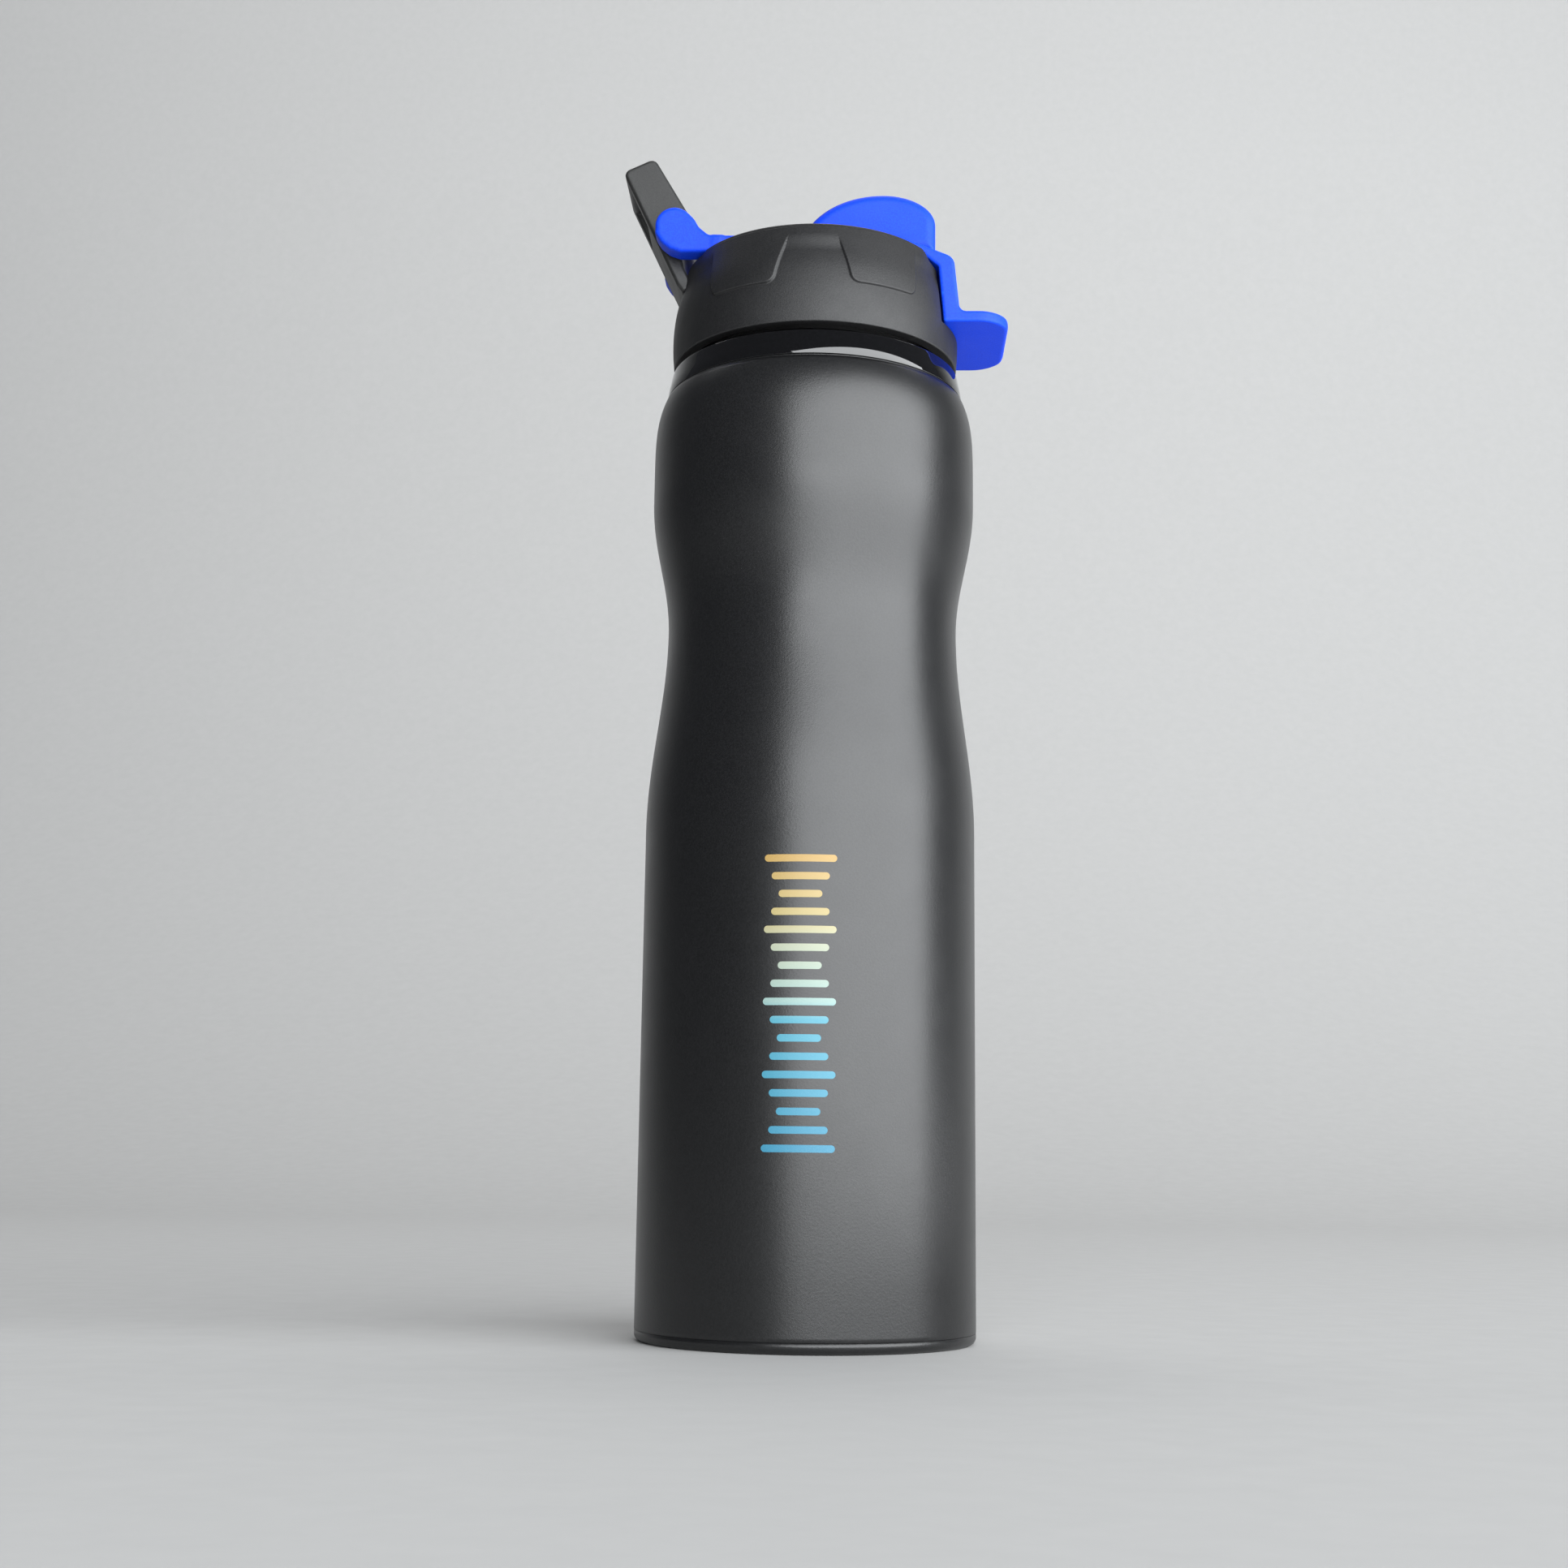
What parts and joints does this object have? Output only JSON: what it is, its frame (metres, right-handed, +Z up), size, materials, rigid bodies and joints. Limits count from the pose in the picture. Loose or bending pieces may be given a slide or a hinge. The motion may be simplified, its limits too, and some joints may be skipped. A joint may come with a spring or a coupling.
{
  "type": "insulated water bottle",
  "caption": "Waisted insulated steel water bottle with a screw cap, a hinged flip cover over a drinking spout, a finger tab and a carry loop.",
  "frame": {"origin": "centre of the face the bottle stands on", "axes": "+Z up along the bottle's axis; +X towards the finger tab and drinking side; -X towards the carry loop"},
  "size_m": [0.0888, 0.073, 0.2668],
  "materials": {
    "powder_coat": "fine matte powder coat",
    "steel": "bare stainless, drawn and polished",
    "getter_metal": "sintered dull grey",
    "smoke_gloss": "glossy smoke-black plastic",
    "cap_black": "fine textured matte black",
    "inner_plastic": "plain moulded black",
    "loop_black": "smooth satin black",
    "cover_blue": "matte saturated blue",
    "spout_grey": "satin grey",
    "silicone": "matte translucent grey"
  },
  "bodies": {
    "bottle": {"outer_shell": "powder_coat", "base_cup": "powder_coat", "inner_liner": "steel", "getter": "getter_metal", "seal_pellet": "steel", "base_cover": "steel", "neck_collar": "smoke_gloss"},
    "cap": {"cap_shell": "cap_black", "thread_insert": "inner_plastic", "cap_gasket": "silicone", "spout": "spout_grey", "spout_nut": "inner_plastic", "air_vent": "silicone", "carry_loop": "loop_black", "loop_screws": "steel", "hinge_pin": "steel"},
    "cover": {"flip_cover": "cover_blue", "spout_plug": "silicone"}
  },
  "joints": [
    {"name": "cap_lift", "type": "slide", "parent": "bottle", "child": "cap", "axis": [0, 0, 1], "range_m": [0, 0.06]},
    {"name": "cover_hinge", "type": "hinge", "parent": "cap", "child": "cover", "pos_m": [-0.0322, 0, 0.248], "axis": [0, -1, 0], "range_deg": [0, 95]}
  ]
}
